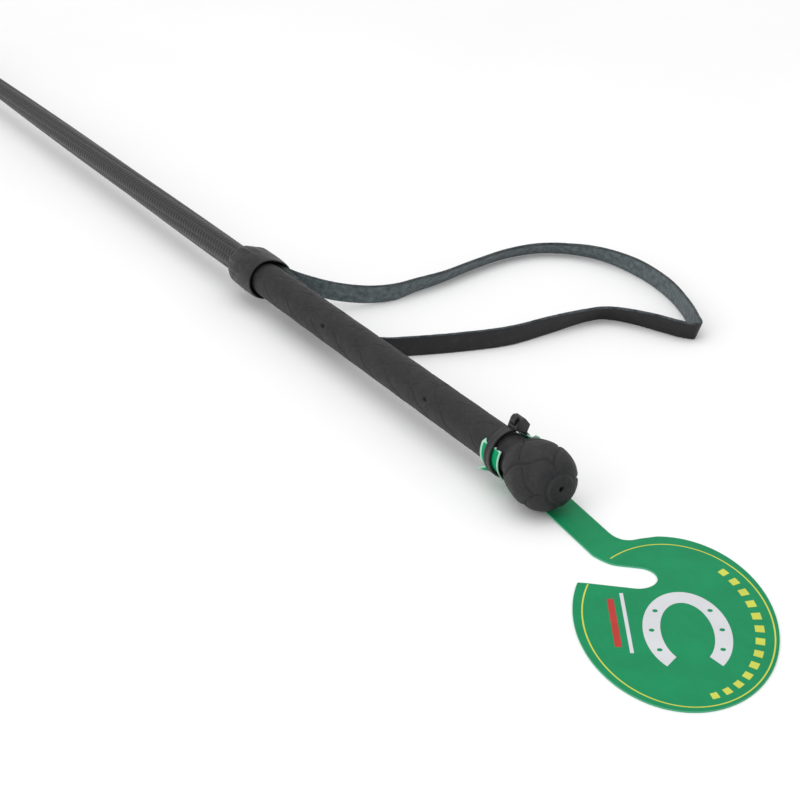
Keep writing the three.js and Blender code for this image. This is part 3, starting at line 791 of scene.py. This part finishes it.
def tag_outline():
    def edge(x, side):
        return (x, strip_middle(x) + side * TAG_STRIP_WIDTH / 2)

    rim = oval(np.linspace(180, -115, 150))
    arc = SLOT_TURN + np.radians(np.linspace(-90, 90, 24))
    round_end = SLOT_END + SLOT_RADIUS * np.stack([np.cos(arc), np.sin(arc)], 1)
    parts = [[edge(TAG_STRIP_END_X, 1)], quadratic(edge(25, 1), (33, 9), (33.6, 15.8)), rim,
             quadratic(rim[-1], slot_point(-19, -SLOT_RADIUS), slot_point(-14, -SLOT_RADIUS))[1:],
             round_end,
             quadratic(slot_point(-7.5, SLOT_RADIUS), slot_point(-10.5, SLOT_RADIUS), edge(34, -1)),
             [edge(TAG_STRIP_END_X, -1)]]
    return np.vstack(parts)


def flat_sheet(name, outline, low, high, looks):
    """A flat sheet between two heights above the surface. Its edge takes the last look."""
    count = len(outline)
    points = [(x, y, FLOOR_Z + z) for z in (low, high) for x, y in outline]
    faces = [tuple(range(count)), tuple(count + i for i in range(count))]
    faces += [(i, (i + 1) % count, count + (i + 1) % count, count + i) for i in range(count)]
    sides = [0, 0] + [len(looks) - 1] * count
    sheet = make_piece(name, points, faces, looks, sides, smooth=False)
    shape = bmesh.new()
    shape.from_mesh(sheet.data)
    bmesh.ops.triangulate(shape, faces=[f for f in shape.faces if len(f.verts) > 4])
    shape.to_mesh(sheet.data)
    shape.free()
    return sheet


def printed(name, outline, look):
    """A layer of ink on the tag's face."""
    ink = flat_sheet(name, np.asarray(outline), TAG_THICKNESS - 0.01, TAG_THICKNESS + 0.03, [look])
    belongs(ink, "tag", "tag_sheet")


def band_outline(inner, outer):
    return np.vstack([outer, inner[::-1]])


def make_tag_print():
    yellow = tag_print("yellow_ink", (0.62, 0.66, 0.09))
    white = tag_print("white_ink", (0.66, 0.67, 0.70), 0.94)
    red = tag_print("red_ink", (0.50, 0.045, 0.035))
    green = tag_print("green_ink", GREEN)
    ring = np.linspace(216, -118, 160)
    printed("tag_border_line", band_outline(oval(ring, RING_CENTRE, RING_SEMI - 0.25),
                                            oval(ring, RING_CENTRE, RING_SEMI + 0.25)), yellow)
    for i, degrees in enumerate(np.linspace(133, 14, 13)):
        span = np.linspace(degrees + 2.6, degrees - 2.6, 6)
        printed(f"tag_border_dash_{i + 1}",
                band_outline(oval(span, RING_CENTRE, RING_SEMI - 6.2),
                             oval(span, RING_CENTRE, RING_SEMI - 3.2)), yellow)

    def shoe(degrees, long, wide):
        return oval(degrees, HORSESHOE_CENTRE, np.array([long, wide]))

    sweep = np.linspace(38, 322, 60)
    printed("tag_horseshoe", band_outline(shoe(sweep, 17.5, 8.4), shoe(sweep, 24.0, 14.0)), white)
    for i, degrees in enumerate((62, 94, 128, 232, 266, 298)):
        dot = shoe(degrees, 20.75, 11.2) + oval(np.linspace(0, 337.5, 16), 0, np.array([0.9, 0.9]))
        nail = flat_sheet(f"tag_nail_dot_{i + 1}", dot, TAG_THICKNESS, TAG_THICKNESS + 0.045, [green])
        belongs(nail, "tag", "tag_sheet")
    bars = ((17.5, -17.6, -16.4, white), (14.0, -22.0, -19.8, red))
    for number, (reach, low, high, ink) in enumerate(bars, 1):
        corners = np.array([(-reach, low), (reach, low), (reach, high), (-reach, high)])
        printed(f"tag_bar_{number}", BARS_CENTRE + corners @ turned_axes(), ink)


def make_tag_sheet():
    face = tag_print("tag_green", GREEN)
    cut = tag_print("tag_cut_edge", (0.10, 0.42, 0.25))
    sheet = flat_sheet("tag_sheet_printed", tag_outline(), 0.0, TAG_THICKNESS, [face, cut])
    belongs(sheet, "tag", "tag_sheet", "swing_tag")


def make_tag_rise():
    """The strip's rise from the surface, under the knob, to the wrap on the neck."""
    low = FLOOR_Z + TAG_THICKNESS / 2
    side = curve_through([(TAG_STRIP_END_X, strip_middle(TAG_STRIP_END_X), low),
                          (-4, strip_middle(-4), low + 0.03), (-7, 6.5, low + 0.35),
                          (-11, 5.6, -11.4), (-14.8, 4.1, -9.6), (NECK_X + 3.7, 2.5, -7.9)], 0.5)
    across = np.tile([0.0, 1.0, 0.0], (len(side), 1))
    out = outward(side, across)
    widths = TAG_STRIP_WIDTH * (0.55 + 0.45 * smoothstep(side[:, 0], NECK_X + 3.2, -9))
    # The rising strip takes the lighter copy of the tag's green: painted light on the bent sheet.
    green = tag_print("tag_strip_painted_light_green", GREEN_WITH_PAINTED_LIGHT)
    edge = tag_print("tag_strip_edge", (0.16, 0.50, 0.32))
    rise = strip("tag_strip_rise", side, across, out, widths, np.full(len(side), 0.55),
                 [green, green, edge])
    belongs(rise, "tag", "tag_sheet")


def neck_ribbon(name, turns, low_x, high_x, radii, seed, looks, slots=14):
    """A bit of the sheet round the neck between two x values, with torn ends and flared rims."""
    random = np.random.default_rng(seed)
    thickness = 0.45
    count = len(turns)
    points = []
    shares = np.linspace(0, 1, slots)
    tear = random.normal(0, 0.05, (2, slots))
    for side in (0, thickness):
        for i, turn in enumerate(turns):
            for k, share in enumerate(shares):
                x = low_x[i] + (high_x[i] - low_x[i]) * share
                radius = radii(share, i / (count - 1)) + side
                end = tear[0, k] if i == 0 else tear[1, k] if i == count - 1 else 0
                points.append((x, radius * math.cos(turn + end), radius * math.sin(turn + end)))
    faces, sides = [], []
    layer = count * slots

    def index(s, i, k):
        return s * layer + i * slots + k

    for i in range(count - 1):
        for k in range(slots - 1):
            torn = k in (0, slots - 2) or i in (0, count - 2)
            for s in (0, 1):
                faces.append((index(s, i, k), index(s, i + 1, k),
                              index(s, i + 1, k + 1), index(s, i, k + 1)))
                sides.append(1 if torn else 0)
        for k in (0, slots - 1):
            faces.append((index(0, i, k), index(1, i, k), index(1, i + 1, k), index(0, i + 1, k)))
            sides.append(1)
    for i in (0, count - 1):
        for k in range(slots - 1):
            faces.append((index(0, i, k), index(0, i, k + 1), index(1, i, k + 1), index(1, i, k)))
            sides.append(1)
    piece = make_piece(name, points, faces, looks, sides)
    belongs(piece, "tag", "tag_sheet")


def make_tag_wrap():
    """The sheet's end round the neck, and the torn flap that stands out beside the tie."""
    # The wrap takes the lighter copy of the tag's green: painted light on the sheet bent round the
    # neck.
    looks = [tag_print("tag_wrap_painted_light_green", GREEN_WITH_PAINTED_LIGHT), tag_print("tag_torn_edge", (0.42, 0.72, 0.56))]
    count = 70
    turns = np.radians(np.linspace(148, 398, count))
    wave = 0.5 * np.sin(np.linspace(0, 9, count))
    low, high = NECK_X - 5.2 + 0.4 * wave, NECK_X + 6.6 + 0.3 * wave

    def radii(share, along):
        rim = abs(share - 0.5) * 2
        lifted = 1.5 * share * smoothstep(along, 0.86, 1.0)
        return 7.65 + (0.6 + 0.6 * share) * smoothstep(rim, 0.45, 1.0) + lifted

    neck_ribbon("tag_wrap_band", turns, low, high, radii, 3, looks)
    flap_count = 20
    flap_turns = np.radians(np.linspace(216, 264, flap_count))
    low_flap = np.linspace(NECK_X - 5.4, NECK_X - 3.8, flap_count)
    high_flap = np.full(flap_count, NECK_X - 2.1)

    def flap_radii(share, along):
        return 8.25 + 2.6 * (1 - share) ** 1.5 * (1 - along) ** 1.2

    neck_ribbon("tag_wrap_flap", flap_turns, low_flap, high_flap, flap_radii, 8, looks, 8)


# ---------------------------------------------------------------- cable tie

TIE_INNER, TIE_OUTER = 8.45, 9.5
TIE_WIDTH = 3.6
TIE_HEAD_TURN = math.radians(66)
TIE_HEAD_BASE = TIE_INNER + 0.25
TIE_HEAD_HALF_WIDTH = 2.6
TIE_POCKET_DEPTH = 2.0


def round_neck(points):
    """Turns (along x, tangent, out) points to the tie head's side of the neck."""
    c, s = math.cos(TIE_HEAD_TURN), math.sin(TIE_HEAD_TURN)
    return [(NECK_X + x, out * c - tangent * s, out * s + tangent * c)
            for x, tangent, out in points]


def make_tie_band(nylon):
    """The band round the neck, with teeth between its two smooth edges."""
    half = TIE_WIDTH / 2
    profile = [(NECK_X - half, TIE_INNER, 0), (NECK_X - half, TIE_OUTER - 0.3, 0),
               (NECK_X - half + 0.25, TIE_OUTER, 1), (NECK_X - half + 0.8, TIE_OUTER - 0.02, 1),
               (NECK_X - half + 0.95, TIE_OUTER - 0.25, 1), (NECK_X + half - 0.95, TIE_OUTER - 0.25, 1),
               (NECK_X + half - 0.8, TIE_OUTER - 0.02, 1), (NECK_X + half - 0.25, TIE_OUTER, 1),
               (NECK_X + half, TIE_OUTER - 0.3, 0), (NECK_X + half, TIE_INNER, 0)]

    def teeth(x, turn):
        inside = np.abs(x - NECK_X) < half - 0.9
        return np.where(inside, 0.16 * np.abs(np.sin(turn * 36)), 0.0)

    return turned("tie_band", profile, 288, nylon, teeth)


def make_tie_head(nylon):
    """The head, with the pocket that the band's end goes into, in its sloped face."""
    outline = [(-2.8, -0.1), (-2.8, 3.4), (0.3, 5.1)]
    outline += [(0.2 + 2.5 * math.cos(turn), 2.5 + 2.6 * math.sin(turn))
                for turn in np.linspace(math.pi / 2.2, 0, 7)]
    outline += [(2.7, -0.1)]
    count = len(outline)
    points = round_neck([(x, t, TIE_HEAD_BASE + o) for x in (-TIE_HEAD_HALF_WIDTH, TIE_HEAD_HALF_WIDTH)
                         for t, o in outline])
    faces = [tuple(range(count)), tuple(count + i for i in range(count))]
    faces += [(i, (i + 1) % count, count + (i + 1) % count, count + i) for i in range(count)]
    head = make_piece("tie_head", points, faces, [nylon], smooth=False)
    shape = bmesh.new()
    shape.from_mesh(head.data)
    shape.faces.ensure_lookup_table()
    sloped = shape.faces[3]
    bmesh.ops.inset_region(shape, faces=[sloped], thickness=0.8 * MM, depth=0)
    pocket = bmesh.ops.extrude_discrete_faces(shape, faces=[sloped])["faces"][0]
    pocket.normal_update()
    inward = -pocket.normal
    bmesh.ops.translate(shape, verts=list(pocket.verts), vec=inward * TIE_POCKET_DEPTH * MM)
    shape.to_mesh(head.data)
    shape.free()
    bevel = head.modifiers.new("edges", "BEVEL")
    bevel.width = 0.3 * MM
    bevel.segments = 3
    bevel.limit_method = "ANGLE"
    return head


def make_tie_pawl(nylon):
    outline = [(-1.9, 2.3), (-1.5, 3.7), (-0.6, 4.1), (-0.3, 2.8)]
    points = round_neck([(x, t, TIE_HEAD_BASE + o) for x in (-0.95, 0.95) for t, o in outline])
    faces = [(0, 1, 2, 3), (7, 6, 5, 4), (0, 4, 5, 1), (1, 5, 6, 2), (2, 6, 7, 3), (3, 7, 4, 0)]
    return make_piece("tie_pawl", points, faces, [nylon], smooth=False)


def make_tie_tail(nylon):
    """The cut tail, out of the head's far side and bent over."""
    rise = ((1.2, 1.0), (2.9, 2.2), (3.3, 3.6), (2.6, 4.9))
    path = curve_through([(0, tangent, TIE_HEAD_BASE + out) for tangent, out in rise], 0.25)
    centres = np.array(round_neck(path))
    across = np.tile([1.0, 0.0, 0.0], (len(centres), 1))
    out = outward(centres, across)
    return strip("tie_tail", centres, across, out, np.full(len(centres), 3.0),
                 np.full(len(centres), 1.05), [nylon, nylon, nylon])


def make_cable_tie():
    nylon = moulded_nylon()
    band = make_tie_band(nylon)
    belongs(band, "tag", "nylon", "cable_tie")
    for piece in (make_tie_head(nylon), make_tie_pawl(nylon), make_tie_tail(nylon)):
        belongs(piece, "tag", "nylon")


# ---------------------------------------------------------------- assembly
make_camera()
make_studio()
shared_thread = waxed_thread()
make_braided_cover()
dress_hidden_core()
make_grip()
make_collar()
make_loop_binding(shared_thread)
make_wrist_loop()
make_tip_wrap()
make_whipping(shared_thread)
make_binding_rings(shared_thread)
make_keeper()
make_tag_sheet()
make_tag_rise()
make_tag_wrap()
make_tag_print()
make_cable_tie()

bpy.context.view_layer.update()
